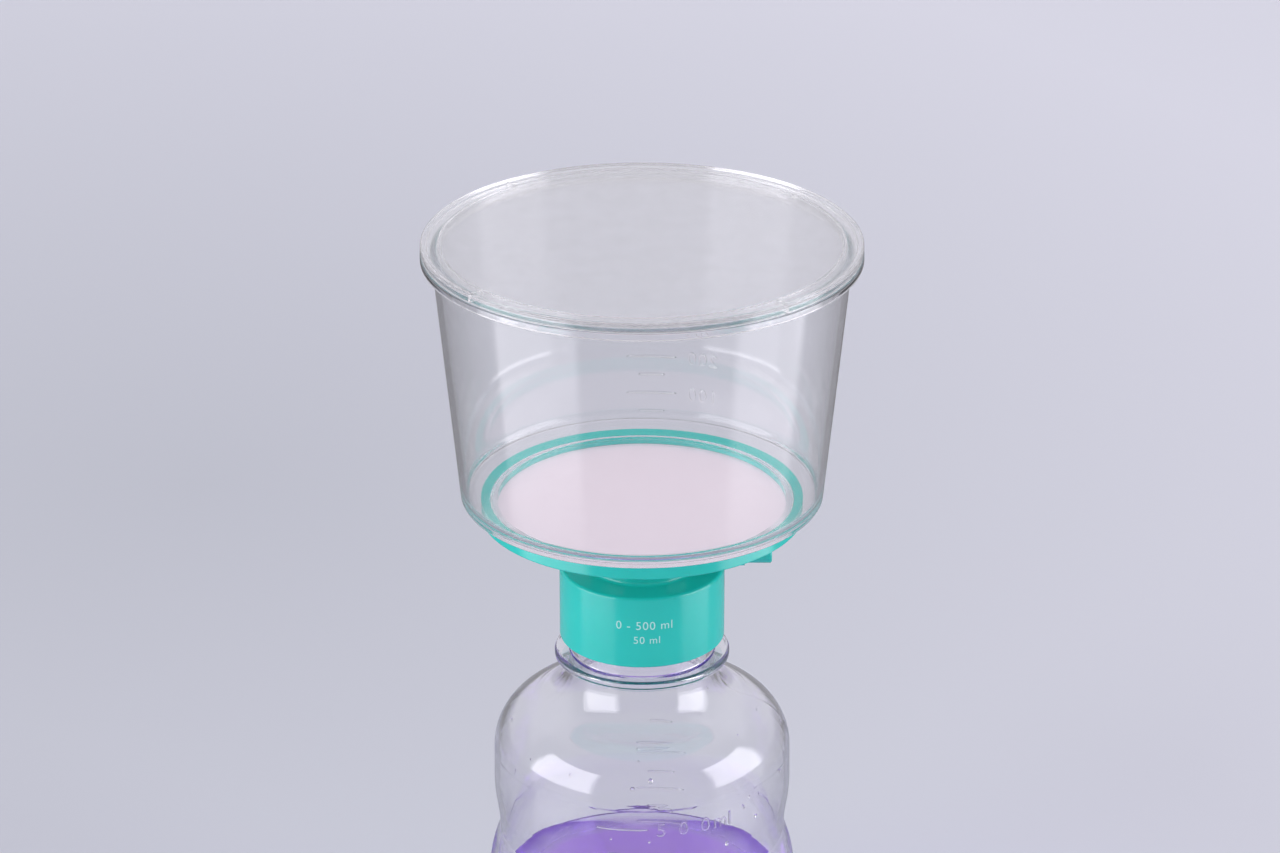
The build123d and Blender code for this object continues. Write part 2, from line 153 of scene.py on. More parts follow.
# %% Room layers
BELOW = [
    (-180, 0.3), (-165, 0.2), (-128, 0.23), (-100, 0.38), (-38, 0.33),
    (58, 0.33), (110, 0.38), (135, 0.26), (165, 0.23), (179, 0.3),
]
CEILING = [(-180, 0.75), (-140, 0.75), (-100, 0.5), (-38, 0.35), (58, 0.35), (110, 0.5), (140, 0.75), (179, 0.75)]
STEP_TOP = 0.12
below = grey_ramp(turn_share.outputs[0], BELOW, HALF_TURN)
ceiling = grey_ramp(turn_share.outputs[0], CEILING, HALF_TURN)
rise = add(
    sky, "MapRange", {"Value": direction.outputs["Z"], "From Min": 0.0, "From Max": STEP_TOP},
    interpolation_type="SMOOTHSTEP",
)
room = add(sky, "Mix", {0: rise.outputs[0], 2: below, 3: ceiling}, data_type="FLOAT")
print("room layers:", len(BELOW), "and", len(CEILING), "stops")

# %% [markdown]
# A softbox isn't equally bright all over: its middle glows more than its lower end, and what a sloping wall mirrors
# depends on its slope. So the brightness is a table over the same height z. An upright rim mirrors z = -0.4, the
# cup's flaring front z = -0.55, its far side z = -0.2, and the bottle's shoulder mirrors what stands above the
# horizon. Above z = 0.65 a plain ceiling takes over.

# %% Softbox brightness by height
GLOW = [
    (-0.84, 0.0), (-0.80, 1.5), (-0.50, 1.5), (-0.46, 3.4), (-0.34, 3.4),
    (-0.29, 0.9), (-0.02, 0.9), (0.02, 3.8), (0.63, 3.8), (0.67, 0.0),
]
BRIGHTEST = 4.0
OFF = 0.01
height_share = add(sky, "MapRange", {"Value": direction.outputs["Z"], "From Min": -1.0, "From Max": 1.0})
glow_share = grey_ramp(height_share.outputs[0], [(height, glow / BRIGHTEST) for height, glow in GLOW], 1)
glow = add(sky, "Math", {0: glow_share, 1: BRIGHTEST}, operation="MULTIPLY")
lit = add(sky, "Math", {0: glow.outputs[0], 1: OFF}, operation="GREATER_THAN")
in_box = add(sky, "Math", {0: lit.outputs[0], 1: softbox}, operation="MULTIPLY")
strength = add(sky, "Mix", {0: in_box.outputs[0], 2: room.outputs[0], 3: glow.outputs[0]}, data_type="FLOAT")
studio = add(sky, "Background", {"Color": linear("#F9F7FD"), "Strength": strength.outputs[0]})
backdrop = add(sky, "Background", {"Color": linear("#CBCBD5"), "Strength": 1.0})
seen_by = add(sky, "LightPath")
shown = add(sky, "MixShader", {0: seen_by.outputs["Is Camera Ray"], 1: studio.outputs[0], 2: backdrop.outputs[0]})
add(sky, "OutputWorld", {"Surface": shown.outputs[0]})
scene.view_settings.view_transform = "Standard"
print("softbox brightness:", len(GLOW), "stops, at most", max(glow for _, glow in GLOW))

# %% [markdown]
# ## The floor
# A plain pale sheet, with painted shade in its colour: it is painted darkest on the left behind the unit and lighter
# with the distance from there and towards the right, where uneven lamps would leave it so. The unit's walls mirror
# the floor as well. Near the unit they should show the sheet with a slight gloss, in a darker copy of its colour that
# is painted shade and only mirror rays see. Further out than a table reaches, mirror rays are let through it, so that
# they find the softboxes that hang there. That is why only the upper part of the unit mirrors them. The painted
# lightness grows by so much for each metre away and to the right.

# %% Floor
FLOOR_HALF = 8.0
# Painted shade: the middle of the dark patch painted into the sheet's colour.
PAINTED_SHADE_CENTRE = (-0.17, 0.39, 0.0)
LIGHTER_AWAY = 1.242
LIGHTER_RIGHT = 0.608
LIGHTNESS_AT_LEAST = 0.103
TABLE_EDGE = (0.29, 0.40)
TABLE_GLOSS = 0.15
floor_corners = [(x * FLOOR_HALF, y * FLOOR_HALF, 0) for x, y in ((-1, -1), (1, -1), (1, 1), (-1, 1))]
floor_mesh = bpy.data.meshes.new("floor")
floor_mesh.from_pydata(floor_corners, [], [(0, 1, 2, 3)])
floor = bpy.data.objects.new("floor", floor_mesh)
scene.collection.objects.link(floor)

paper = bpy.data.materials.new("studio_paper")
paper.use_nodes = True
tree = paper.node_tree
tree.nodes.clear()
spot = add(tree, "TexCoord").outputs["Object"]
across = add(tree, "SeparateXYZ", {0: spot})
rightward = add(
    tree, "Math", {0: across.outputs["X"], 1: LIGHTER_RIGHT, 2: LIGHTNESS_AT_LEAST}, operation="MULTIPLY_ADD"
)
away = add(tree, "VectorMath", {0: spot, 1: PAINTED_SHADE_CENTRE}, operation="DISTANCE")
lightness = add(
    tree, "Math", {0: away.outputs["Value"], 1: LIGHTER_AWAY, 2: rightward.outputs[0]},
    operation="MULTIPLY_ADD", use_clamp=True,
)
# Painted shade: the sheet's colour runs from darker grey at the painted dark patch to lighter grey away from it.
shade = add(tree, "Mix", {0: lightness.outputs[0], 6: linear("#CBCED6"), 7: linear("#E5E6EF")}, data_type="RGBA")
rays = add(tree, "LightPath")
scattered = add(tree, "Math", {0: rays.outputs["Diffuse Depth"], 1: rays.outputs["Is Shadow Ray"]}, operation="ADD")
mirrored = add(tree, "Math", {0: rays.outputs["Glossy Depth"], 1: 1.0, 2: 0.5}, operation="COMPARE")
once = add(tree, "Math", {0: mirrored.outputs[0], 1: scattered.outputs[0]}, operation="SUBTRACT", use_clamp=True)
# Painted shade: rays mirrored once onto the sheet see it in a darker grey than its own colour.
painted_mirror_shade = add(tree, "Mix", {0: once.outputs[0], 6: shade.outputs[2], 7: linear("#AEB0BC")}, data_type="RGBA")
matte = add(tree, "BsdfDiffuse", {"Color": painted_mirror_shade.outputs[2]})
out_from_unit = add(tree, "VectorMath", {0: spot}, operation="LENGTH")
past_table = add(
    tree, "MapRange",
    {"Value": out_from_unit.outputs["Value"], "From Min": TABLE_EDGE[0], "From Max": TABLE_EDGE[1],
     "To Min": TABLE_GLOSS},
)
passes = add(tree, "Math", {0: past_table.outputs[0], 1: once.outputs[0]}, operation="MULTIPLY")
open_way = add(tree, "BsdfTransparent")
floor_shader = add(tree, "MixShader", {0: passes.outputs[0], 1: matte.outputs[0], 2: open_way.outputs[0]})
add(tree, "OutputMaterial", {"Surface": floor_shader.outputs[0]})
floor.data.materials.append(paper)
print("floor is", 2 * FLOOR_HALF, "m square")

# %% [markdown]
# ## Reading the walls
# The scales, droplets and liquid touch the mouldings' walls, so their places are measured on the CAD meshes with
# rays. `wall` shoots a ray level with the ground, from outside inwards or from the axis outwards, and gives the
# radius where it meets the wall. Turns are degrees round the axis from the camera's side, growing to the right.

# %% Wall radius by ray
OUTSIDE = 0.2


def wall(node, height, turn=0.0, inside=False):
    """The radius at which a level ray meets a node's wall: outward from the axis if inside, and else inward."""
    angle = math.radians(turn)
    out = Vector((math.sin(angle), -math.cos(angle), 0))
    start = Vector((0, 0, height)) + (out * 0 if inside else out * OUTSIDE)
    met, place, _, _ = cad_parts[node].ray_cast(start, out if inside else -out)
    if not met:
        raise ValueError(f"no wall of {node} at height {height}")
    return math.hypot(place.x, place.y)


def round_axis(radius, turn, height):
    """Points from radius, turn in radians from the camera's side and height: (r sin t, -r cos t, z), as arrays."""
    radius, turn, height = np.broadcast_arrays(radius, turn, height)
    return np.stack([radius * np.sin(turn), -radius * np.cos(turn), height], -1)


print("bottle wall at 85 mm:", round(wall("bottle", 0.085) / MM, 2), "mm outside,",
      round(wall("bottle", 0.085, inside=True) / MM, 2), "mm inside")

# %% [markdown]
# ## Skins
# Every new piece is a set of closed skins: a grid of points whose rows run along the piece and whose columns run
# round it. The last column joins the first, and the end rows are closed with one face each. If the finished skin's
# volume comes out negative, its faces point inwards, and the whole mesh is flipped.

# %% Closed skins from grids of points
def skins(name, blocks, ring=False):
    """A mesh from blocks[k, i, j] of points: k skins, each with rows i along it and columns j round it.

    Corner numbers are k*n*m + i*m + j; a quad joins (i, j), (i, j+1), (i+1, j+1) and (i+1, j), with j+1 taken
    round to 0 at the seam. In a ring the rows close as well, and else each end row gets one face. The sign of the
    sum of a . (b x c) / 6 over the fans gives the side the faces show.
    """
    blocks = np.asarray(blocks, float)
    count, n, m, _ = blocks.shape
    k, i, j = np.meshgrid(np.arange(count), np.arange(n if ring else n - 1), np.arange(m), indexing="ij")
    low, high, along = k * n * m + i * m, k * n * m + (i + 1) % n * m, (j + 1) % m
    quads = np.stack([low + j, low + along, high + along, high + j], -1).reshape(-1, 4)
    start = np.arange(0 if ring else count)[:, None] * n * m
    lows = (start + np.arange(m)[::-1]).tolist()
    highs = (start + (n - 1) * m + np.arange(m)).tolist()
    points = blocks.reshape(-1, 3)
    p, q, r, s = (points[quads[:, c]] for c in range(4))
    volume = np.sum(np.cross(p, q) * r) + np.sum(np.cross(p, r) * s)
    mesh = bpy.data.meshes.new(name)
    mesh.from_pydata(points.tolist(), [], quads.tolist() + lows + highs)
    if volume < 0:
        mesh.flip_normals()
    mesh.shade_smooth()
    piece = bpy.data.objects.new(name, mesh)
    scene.collection.objects.link(piece)
    print(f"{name}: {count} skins, {len(mesh.polygons)} faces")
    return piece


# %% [markdown]
# ## The funnel and the lid, turned again
# Thick clear rims show every flaw of a mesh: light is mirrored many times inside them, and the flat facets of the
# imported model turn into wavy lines. So the funnel and the lid are made again on the CAD's own corners, as profiles
# turned round the axis in one-degree steps. Every corner of a moulding has a small round, sharp ones included. The
# points are given as (radius, height, round) in millimetres.

# %% Rounded profiles
ARC_POINTS = 9
GUARD = 0.05


def rounded(corners, closed):
    """The profile through corners (radius, height, round): each gives way to an arc that touches both its sides.

    For a corner of angle a the arc starts r / tan(a/2) along each side, its middle lies r / sin(a/2) along the
    bisector, and its points are (sin((1-s)w) A + sin(s w) B) / sin w with w = pi - a. A guard point on each side,
    GUARD further on, keeps the smooth shading of the straight runs flat.
    """
    places, rounds = np.array(corners)[:, :2], np.array(corners)[:, 2]
    rows = []
    for i, (here, r) in enumerate(zip(places, rounds)):
        if not closed and i in (0, len(places) - 1):
            rows.append(here[None])
            continue
        back, ahead = places[i - 1] - here, places[(i + 1) % len(places)] - here
        back, ahead = back / np.linalg.norm(back), ahead / np.linalg.norm(ahead)
        a = math.acos(back @ ahead)
        start, end = here + back * r / math.tan(a / 2), here + ahead * r / math.tan(a / 2)
        middle = here + (back + ahead) / np.linalg.norm(back + ahead) * r / math.sin(a / 2)
        s, w = np.linspace(0, 1, ARC_POINTS)[:, None], math.pi - a
        arc = middle + (np.sin((1 - s) * w) * (start - middle) + np.sin(s * w) * (end - middle)) / math.sin(w)
        rows += [(start + back * GUARD)[None], arc, (end + ahead * GUARD)[None]]
    return np.concatenate(rows) * MM


def turned(name, corners, closed):
    """The rounded profile (r, z) turned round the axis in one-degree steps: (r sin t, -r cos t, z)."""
    profile = rounded(corners, closed)
    turns = np.radians(np.arange(360))
    return skins(name, [round_axis(profile[:, :1], turns, profile[:, 1:])], ring=closed)


# %% [markdown]
# The funnel's profile closes on itself: the spigot round the membrane, the cone outside, the flange, and the inside
# back down. The lid's profile starts and ends beside the axis, where a tiny face closes each side of the disc. It
# goes down twice, for the skirt outside and the locating rib inside.

# %% Funnel and lid
EDGE = 0.4
TIGHT = 0.15
funnel_corners = [
    (42.5, 170.727, TIGHT), (45.0, 170.727, TIGHT), (45.0, 172.079, TIGHT), (53.15, 174.727, EDGE),
    (60.5, 248.527, 0.8), (63.8, 248.527, EDGE), (63.8, 250.927, EDGE), (59.039, 250.927, EDGE),
    (51.63, 176.533, 4.0), (42.5, 173.567, EDGE),
]
lid_corners = [
    (0.3, 253.877, 0), (63.7, 253.877, 0.8), (63.7, 250.977, EDGE), (61.9, 250.977, TIGHT), (61.9, 252.377, TIGHT),
    (58.62, 252.377, TIGHT), (58.62, 249.727, EDGE), (57.82, 249.727, TIGHT), (57.82, 252.377, TIGHT),
    (0.3, 252.377, 0),
]
funnel = turned("turned_funnel", funnel_corners, closed=True)
lid = turned("turned_lid", lid_corners, closed=False)
for node, corners in (("funnel", funnel_corners), ("lid", lid_corners)):
    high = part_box(node)[1]
    print(node, "differs from the CAD by", round(max(c[0] for c in corners) - high.x / MM, 2), "mm in radius and",
          round(max(c[1] for c in corners) - high.z / MM, 2), "mm at the top")

# %% [markdown]
# Four small nibs join the lid's skirt to its locating rib. They are short bars with rounded corners, whose section
# is a squared circle: the cosine and sine of the usual circle are raised to a power below one.

# %% Nibs
NIB_TURNS = np.radians([40, 130, 220, 310])[:, None, None]
NIB_REACH = (58.45, 62.05)
NIB_MIDDLE_HIGH = 251.75
NIB_HALF_WIDTH = 0.5
NIB_HALF_HEIGHT = 0.77
SQUARING = 0.4
along = np.linspace(*NIB_REACH, 6)[None, :, None]
a = np.linspace(0, 2 * math.pi, 24, endpoint=False)[None, None, :]
sideways = NIB_HALF_WIDTH * np.sign(np.cos(a)) * np.abs(np.cos(a)) ** SQUARING
upright = NIB_MIDDLE_HIGH + NIB_HALF_HEIGHT * np.sign(np.sin(a)) * np.abs(np.sin(a)) ** SQUARING
nibs = skins("lid_nibs", round_axis(along * MM, NIB_TURNS + sideways / along, upright * MM))

# %% [markdown]
# ## The filtrate
# About 255 ml of purple liquid stands in the bottle. The CAD node is a plain plug with a flat top, but a liquid
# climbs a little where it meets a wall, and that bright rim is what shows its level. So the liquid is made again as
# a profile turned round the axis: down on the bottle's floor, up its wall, and back over the surface, whose height
# is the level plus a rise that dies away from the wall. The skin reaches a tenth of a millimetre into the plastic,
# because a gap there would look like a layer of air.

# %% Liquid profile and skin
RISE = 0.7 * MM
RISE_REACH = 1.9 * MM
INTO_WALL = 0.1 * MM
STRAIGHT_FROM = 11 * MM
AROUND = 160
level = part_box("filtrate")[1].z
bore = wall("bottle", level - 2 * MM, inside=True)


def bottle_floor(radius):
    """The height of the bottle's floor at a radius, by a ray straight down from half way up the liquid."""
    _, place, _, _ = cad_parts["bottle"].ray_cast(Vector((radius, 0, level / 2)), Vector((0, 0, -1)))
    return place.z


floor_r = np.concatenate([np.linspace(0.3 * MM, bore - 4 * MM, 22), bore - MM * np.array([3.2, 2.4, 1.6, 1.0, 0.6])])
floor_z = np.array([bottle_floor(r) for r in floor_r]) - INTO_WALL
low_wall_z = np.linspace(floor_z[-1] + 0.9 * MM, floor_z[-1] + 6 * MM, 6)
wall_z = np.concatenate([low_wall_z, np.linspace(STRAIGHT_FROM, level, 10)])
wall_r = np.array([wall("bottle", z, inside=True) for z in wall_z]) + INTO_WALL
top_r = bore + INTO_WALL - np.concatenate([np.linspace(0, 8 * MM, 14), np.linspace(10 * MM, bore - 0.3 * MM, 12)])
top_z = level + RISE * np.exp(-(bore + INTO_WALL - top_r) / RISE_REACH)
profile_r = np.concatenate([floor_r, wall_r, top_r])
profile_z = np.concatenate([floor_z, wall_z, top_z])
turns = np.linspace(0, 2 * math.pi, AROUND, endpoint=False)
liquid = skins("filtrate_liquid", [round_axis(profile_r[:, None], turns[None, :], profile_z[:, None])])
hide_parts("filtrate")
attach(liquid, "bottle")
print("liquid stands", round(level / MM, 1), "mm high in a bore of", round(bore / MM, 1), "mm radius")

# %% [markdown]
# ## The scales
# The bottle and the funnel are moulded with raised lines and numbers that stand about a third of a millimetre
# proud. Where the lines go isn't guessed: the inside of the CAD walls is measured at every half millimetre, the
# discs of liquid are added up, and each mark goes where the inside holds its volume. Moulded scales are only true to
# about 5%, and this bottle's reads 3% high.

# %% Volume levels
def heights_for(node, low, high, volumes):
    """The heights between low and high at which a node's inside holds each volume in ml.

    They are read back from the running sum of pi r**2 dz.
    """
    step = 0.5 * MM
    heights = np.arange(low, high, step)
    area = math.pi * np.array([wall(node, z, inside=True) for z in heights]) ** 2
    return np.interp(volumes, np.cumsum(area * step) / 1e-6, heights)


MARKS_ML = np.arange(50, 501, 50)
BOTTLE_READS = 0.97
SHOULDER_HIGH = 0.1
CUP_HIGH = 0.245
bottle_low = float(floor_z.max()) + MM
bottle_marks = heights_for("bottle", bottle_low, SHOULDER_HIGH, MARKS_ML * BOTTLE_READS)
funnel_marks = heights_for("funnel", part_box("membrane")[1].z, CUP_HIGH, MARKS_ML)
print("bottle marks in mm:", np.round(bottle_marks / MM, 1))
print("funnel marks in mm:", np.round(funnel_marks / MM, 1))

# %% [markdown]
# A mark is a thin bead laid round the wall. It is an ellipse in section, half sunk in the wall, and its height and
# width shrink to almost nothing at both ends, so that no flat end shows. Every second mark, at the full hundreds, is
# the longer one.

# %% Raised marks
MARK_HEIGHT = 0.32 * MM
MARK_WIDTH = 0.75 * MM
LONG_MARK = 15.8 * MM
SHORT_MARK = 8.2 * MM
END_TAPER = 0.02


def raised_marks(name, node, heights, lengths, middle, facing):
    """Beads on a wall: row i runs along an arc of the given length centred middle along from the facing turn.

    A point is at radius R + h t cos a and height z + w t sin a / 2, where a runs round the section and the taper
    t = (1 - (2s - 1)**8)**0.5 runs along the bead.
    """
    radius = np.array([wall(node, z, facing) for z in heights])[:, None, None]
    s = np.linspace(0, 1, 22)[None, :, None]
    a = np.linspace(0, 2 * math.pi, 14, endpoint=False)[None, None, :]
    taper = np.sqrt(np.clip(1 - (2 * s - 1) ** 8, END_TAPER**2, 1))
    turn = math.radians(facing) + (middle + (s - 0.5) * np.asarray(lengths)[:, None, None]) / radius
    height = np.asarray(heights)[:, None, None] + taper * MARK_WIDTH / 2 * np.sin(a)
    return skins(name, round_axis(radius + taper * MARK_HEIGHT * np.cos(a), turn, height))


mark_lengths = np.where(MARKS_ML % 100 == 0, LONG_MARK, SHORT_MARK)
FRONT, BACK = 0.0, 180.0
scales = [
    (node, raised_marks(name, node, heights, mark_lengths[: len(heights)], middle, facing))
    for name, node, heights, middle, facing in (
        ("bottle_scale_front", "bottle", bottle_marks, -6 * MM, FRONT),
        ("bottle_scale_back", "bottle", bottle_marks[:-1], -6 * MM, BACK),
        ("funnel_scale", "funnel", funnel_marks, -3 * MM, BACK),
    )
]

# %% [markdown]
# The numbers are set with Blender's own typeface, given a little thickness and a rounded edge, and turned into a
# mesh. Then each point's flat place becomes a place on the wall: the distance along the line is an angle, and the
# thickness is added to the wall's radius. On the bottle the characters are cut far apart, one by one, at fixed places
# along the line.

# %% Raised numbers
CAP_SHARE = 0.7


def letters(words, height, depth, spacing, soft):
    """The points and faces of a line of type that starts at x = 0 and stands on y = 0, depth thick round z = 0.

    The strokes' edges are rounded with the radius soft. A capital is CAP_SHARE of the type's size.
    """
    text = bpy.data.curves.new("type", "FONT")
    text.body = words
    text.size = height / CAP_SHARE
    text.space_character = spacing
    text.extrude = depth / 2 - soft
    text.bevel_depth = soft
    text.bevel_resolution = 2
    text.offset = -soft
    text.resolution_u = 4
    holder = bpy.data.objects.new("type", text)
    scene.collection.objects.link(holder)
    bpy.context.view_layer.update()
    mesh = bpy.data.meshes.new_from_object(holder)
    points = np.zeros(len(mesh.vertices) * 3)
    mesh.vertices.foreach_get("co", points)
    faces = [tuple(p.vertices) for p in mesh.polygons]
    bpy.data.objects.remove(holder)
    bpy.data.meshes.remove(mesh)
    return points.reshape(-1, 3), faces


def wrap_letters(name, lines, node, facing, depth, spacing=1.0, sink=0.05 * MM, soft=0.0):
    """One mesh of lines (words, cap height, left edge, foot height) laid on a wall and sunk a little into it.

    x becomes the turn x / R, y the height above the line's foot, and z the height above the wall. Spacing stretches
    the line, and soft rounds the strokes.
    """
    points, faces, count = [], [], 0
    for words, height, left, foot in lines:
        flat, line_faces = letters(words, height, depth, spacing, soft)
        radius = wall(node, foot + height / 2, facing)
        turn = math.radians(facing) + (left + flat[:, 0]) / radius
        out = radius - sink + flat[:, 2] + depth / 2
        points.append(round_axis(out, turn, foot + flat[:, 1]))
        faces += [tuple(c + count for c in face) for face in line_faces]
        count += len(flat)
    mesh = bpy.data.meshes.new(name)
    mesh.from_pydata(np.concatenate(points).tolist(), [], faces)
    piece = bpy.data.objects.new(name, mesh)
    scene.collection.objects.link(piece)
    print(f"{name}: {len(lines)} lines, {len(faces)} faces")
    return piece


FIGURE = 4.4 * MM
FIGURE_DEEP = 0.4 * MM
PLACES_MM = (4.1, 10.8, 17.6, 21.7, 26.6)
FUNNEL_FIGURE = 4.2 * MM
FUNNEL_LEFT = -24 * MM
hundreds = [(ml, z) for ml, z in zip(MARKS_ML, bottle_marks) if ml % 100 == 0]
bottle_lines = [
    (mark, FIGURE, left * MM, z - FIGURE / 2)
    for ml, z in hundreds
    for mark, left in zip(f"{ml}ml" if ml == 500 else str(ml), PLACES_MM)
]
hundreds = [(ml, z) for ml, z in zip(MARKS_ML, funnel_marks) if ml % 100 == 0]
funnel_lines = [(str(ml), FUNNEL_FIGURE, FUNNEL_LEFT, z - FUNNEL_FIGURE / 2) for ml, z in hundreds]
scales += [
    ("bottle", wrap_letters("bottle_figures", bottle_lines, "bottle", FRONT, FIGURE_DEEP, soft=0.15 * MM)),
    ("funnel", wrap_letters("funnel_figures", funnel_lines, "funnel", BACK, FIGURE_DEEP, 1.15, soft=0.12 * MM)),
]

# %% [markdown]
# ## The print on the collar
# A base of this kind carries a short pad-printed note in white ink. Here it only repeats the scale's own range and
# step, in plain figures. Ink is a film a few hundredths of a millimetre thick, so the letters are that thin.

# %% Collar print
collar_lines = [("0 - 500 ml", 2.6 * MM, -7.8 * MM, 0.1412), ("50 ml", 2.3 * MM, -2.6 * MM, 0.1367)]
ink_print = wrap_letters("collar_print", collar_lines, "base_adapter", FRONT, 0.05 * MM, 1.1, sink=0.01 * MM)
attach(ink_print, "head")

# %% [markdown]
# ## Droplets
# Small beads of filtrate cling to the inside of the bottle's shoulder. Each is a ball with its middle on the wall,
# flattened against it and a little longer upright, and its two poles are cut small and closed. The places are drawn
# from a seeded generator, so they are the same every time.

# %% Droplets on the bottle's wall
DROPS = 26
STANDS_OUT = 0.55
HANGS_LONG = 1.15
CAP_HOLE = 0.12
chance = np.random.default_rng(7)
drop_height = chance.uniform(level + 8 * MM, SHOULDER_HIGH, DROPS)
drop_turn = chance.uniform(-180, 180, DROPS)
drop_size = chance.uniform(0.25, 0.75, DROPS) * MM
drop_radius = np.array([wall("bottle", z, t, inside=True) for z, t in zip(drop_height, drop_turn)])
polar = np.linspace(CAP_HOLE, math.pi - CAP_HOLE, 8)[None, :, None]
ring = np.linspace(0, 2 * math.pi, 12, endpoint=False)[None, None, :]
size = drop_size[:, None, None]
drop_points = round_axis(
    drop_radius[:, None, None] - STANDS_OUT * size * np.cos(polar) * np.ones_like(ring),
    np.radians(drop_turn)[:, None, None] + size * np.sin(polar) * np.cos(ring) / drop_radius[:, None, None],
    drop_height[:, None, None] + HANGS_LONG * size * np.sin(polar) * np.sin(ring),
)
droplets = skins("bottle_droplets", drop_points)
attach(droplets, "bottle")

# %% [markdown]
# ## Clear mouldings
# The funnel and lid are general-purpose polystyrene with a high IOR of 1.59, which makes its edges read dark or
# bright. The funnel is injection moulded in polished steel and crystal clear. The lid's mould has a fine satin
# finish, so what lies under it looks soft. A long way through either looks grey-violet: a volume absorbs light little
# by little, and the lid's absorbs less. The bottle is blown, with longer and deeper waves. Lamp light should reach
# what stands inside, and a path tracer finds that hard through clear plastic, so for shadow rays and for scattered
# light the shader is mixed with a plain Transparent one.

# %% Shader starts
def begin(name, base="#FFFFFF", **uniform):
    """A material with one Principled shader. Keyword values go straight on its sockets, _ standing for a space."""
    material = bpy.data.materials.new(name)
    material.use_nodes = True
    tree = material.node_tree
    tree.nodes.clear()
    shader = add(tree, "BsdfPrincipled", {"Base Color": linear(base)})
    for socket, value in uniform.items():
        shader.inputs[socket.replace("_", " ")].default_value = value
    out = add(tree, "OutputMaterial", {"Surface": shader.outputs[0]})
    place = add(tree, "TexCoord").outputs["Object"]
    return material, tree, shader, out, place


def see_through(tree, shader, out, tint):
    """Lets shadow rays and scattered light pass a clear shader, tinted, by mixing in a Transparent one for them."""
    rays = add(tree, "LightPath")
    passing = add(
        tree, "Math", {0: rays.outputs["Is Shadow Ray"], 1: rays.outputs["Is Diffuse Ray"]}, operation="MAXIMUM"
    )
    clear = add(tree, "BsdfTransparent", {"Color": linear(tint)})
    mixed = add(tree, "MixShader", {0: passing.outputs[0], 1: shader.outputs[0], 2: clear.outputs[0]})
    tree.links.new(mixed.outputs[0], out.inputs["Surface"])


def absorb(tree, out, code, density):
    """Fills a clear material with a colour that darkens what is seen a long way through it."""
    depth = add(tree, "VolumeAbsorption", {"Color": linear(code), "Density": density})
    tree.links.new(depth.outputs[0], out.inputs["Volume"])


def ripple(tree, place, size_mm, height_mm, detail=1.0):
    """A bump from noise: size_mm is the width of a lump, and height_mm how far it stands up."""
    lumps = add(tree, "TexNoise", {"Vector": place, "Scale": 1 / (size_mm * MM), "Detail": detail})
    bump = add(tree, "Bump", {"Height": lumps.outputs["Fac"], "Strength": 1.0, "Distance": height_mm * MM})
    return bump.outputs[0]


def mottled(tree, shader, place, size_mm, detail, tones, distortion=0.0):
    """Colours a shader with two tones, mixed by noise in lumps size_mm wide. Gives back the noise's value."""
    noise = add(
        tree, "TexNoise",
        {"Vector": place, "Scale": 1 / (size_mm * MM), "Detail": detail, "Distortion": distortion},
    ).outputs["Fac"]
    colour = add(tree, "Mix", {0: noise, 6: linear(tones[0]), 7: linear(tones[1])}, data_type="RGBA")
    tree.links.new(colour.outputs[2], shader.inputs["Base Color"])
    return noise


def clear_plastic(name, ior, absorbed, density, wave_mm, wave_height_mm, roughness=(0.01, 0.035)):
    """Transparent moulded plastic: a clear skin whose roughness varies, soft waves, and a volume that darkens it."""
    material, tree, shader, out, place = begin(name, Roughness=0.015, IOR=ior, Transmission_Weight=1.0)
    tree.links.new(ripple(tree, place, wave_mm, wave_height_mm), shader.inputs["Normal"])
    haze = add(tree, "TexNoise", {"Vector": place, "Scale": 1 / (9 * MM), "Detail": 3.0})
    rough = add(
        tree, "MapRange",
        {"Value": haze.outputs["Fac"], "From Min": 0.35, "From Max": 0.7, "To Min": roughness[0],
         "To Max": roughness[1]},
    )
    tree.links.new(rough.outputs[0], shader.inputs["Roughness"])
    see_through(tree, shader, out, "#FEFEFF")
    absorb(tree, out, absorbed, density)
    return material


crystal = clear_plastic("moulded_crystal_polystyrene", 1.59, "#B9BCC6", 14.0, 24, 0.002)
lid_crystal = clear_plastic("satin_crystal_polystyrene", 1.59, "#C4C6CE", 4.0, 24, 0.002, (0.12, 0.17))
bottle_clear = clear_plastic("blown_clear_polystyrene", 1.57, "#B4B4D0", 8.0, 30, 0.01)
print("clear plastics made:", [plastic.name for plastic in (crystal, lid_crystal, bottle_clear)])

# %% [markdown]
# ## The liquid's material
# A dye in water: IOR 1.33 and no roughness. Its colour is in the depth, so it is deep violet through the middle and
# clears towards the wall, where the liquid under the surface gets thin. A finely dispersed dye also throws some light
# back, so part of the colour is on the shader itself, and that part fades over the last 11 mm before the wall. The
# droplets hold so little of it that they look clear.

# %% Liquid
CLEARING = 11 * MM
CLEAR_AT = 1.5 * MM
CLEAR_AMID = 0.52
dye, tree, shader, out, place = begin("dyed_water", Roughness=0.0, IOR=1.33)
level_place = add(tree, "VectorMath", {0: place, 1: (1.0, 1.0, 0.0)}, operation="MULTIPLY")
from_axis = add(tree, "VectorMath", {0: level_place.outputs[0]}, operation="LENGTH")
near_wall = add(
    tree, "MapRange",
    {"Value": from_axis.outputs["Value"], "From Min": bore - CLEARING, "From Max": bore - CLEAR_AT},
)
clearness = add(tree, "MapRange", {"Value": near_wall.outputs[0], "To Min": CLEAR_AMID, "To Max": 1.0})
tree.links.new(clearness.outputs[0], shader.inputs["Transmission Weight"])
tint = add(tree, "Mix", {0: near_wall.outputs[0], 6: linear("#CAA1F5"), 7: linear("#FFFFFF")}, data_type="RGBA")
tree.links.new(tint.outputs[2], shader.inputs["Base Color"])
tree.links.new(ripple(tree, place, 14, 0.02), shader.inputs["Normal"])
see_through(tree, shader, out, "#F6F0FC")
